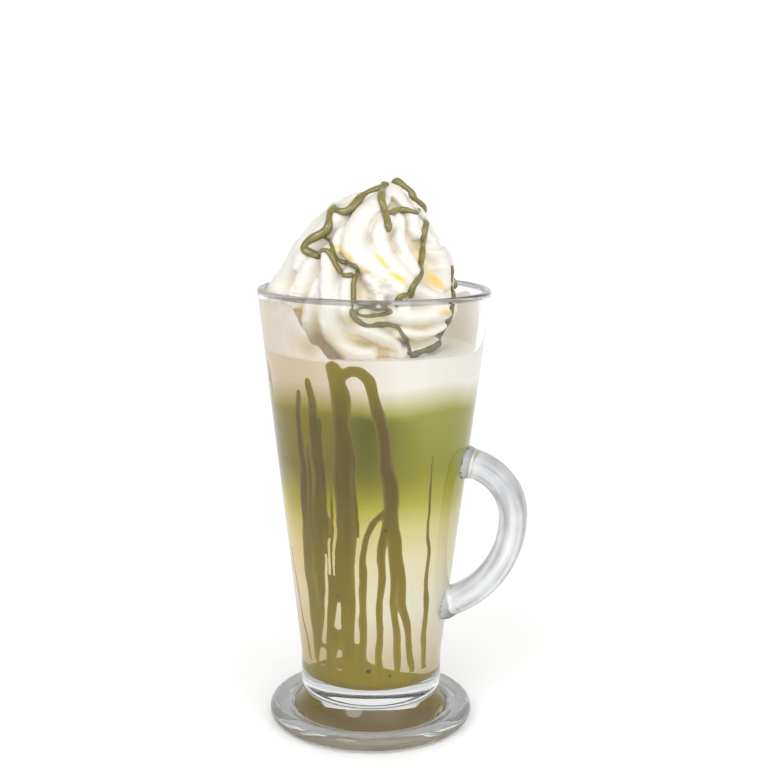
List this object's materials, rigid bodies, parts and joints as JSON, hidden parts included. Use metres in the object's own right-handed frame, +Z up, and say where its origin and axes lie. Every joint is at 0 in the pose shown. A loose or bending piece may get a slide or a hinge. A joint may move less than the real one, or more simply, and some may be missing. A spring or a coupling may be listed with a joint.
{
  "type": "matcha latte in a glass mug",
  "caption": "Layered green tea latte in a tall footed glass mug with a side handle, topped with foam, a piped swirl of whipped cream and green sauce drizzle.",
  "frame": {"origin": "on the axis of the glass at table level, in the plane its foot ring stands on", "axes": "+Z up along the glass axis, +X toward the handle"},
  "size_m": [0.0945, 0.08, 0.1898],
  "materials": {
    "glass": "clear polished",
    "sauce_pool": "glossy sauce",
    "milk_layer": "smooth liquid",
    "matcha_layer": "smooth liquid",
    "foam_layer": "fine foam",
    "whipped_cream": "soft satin"
  },
  "bodies": {
    "root": {"glass": "glass", "sauce_pool": "sauce_pool", "milk_layer": "milk_layer", "matcha_layer": "matcha_layer", "foam_layer": "foam_layer", "whipped_cream": "whipped_cream"}
  },
  "joints": []
}
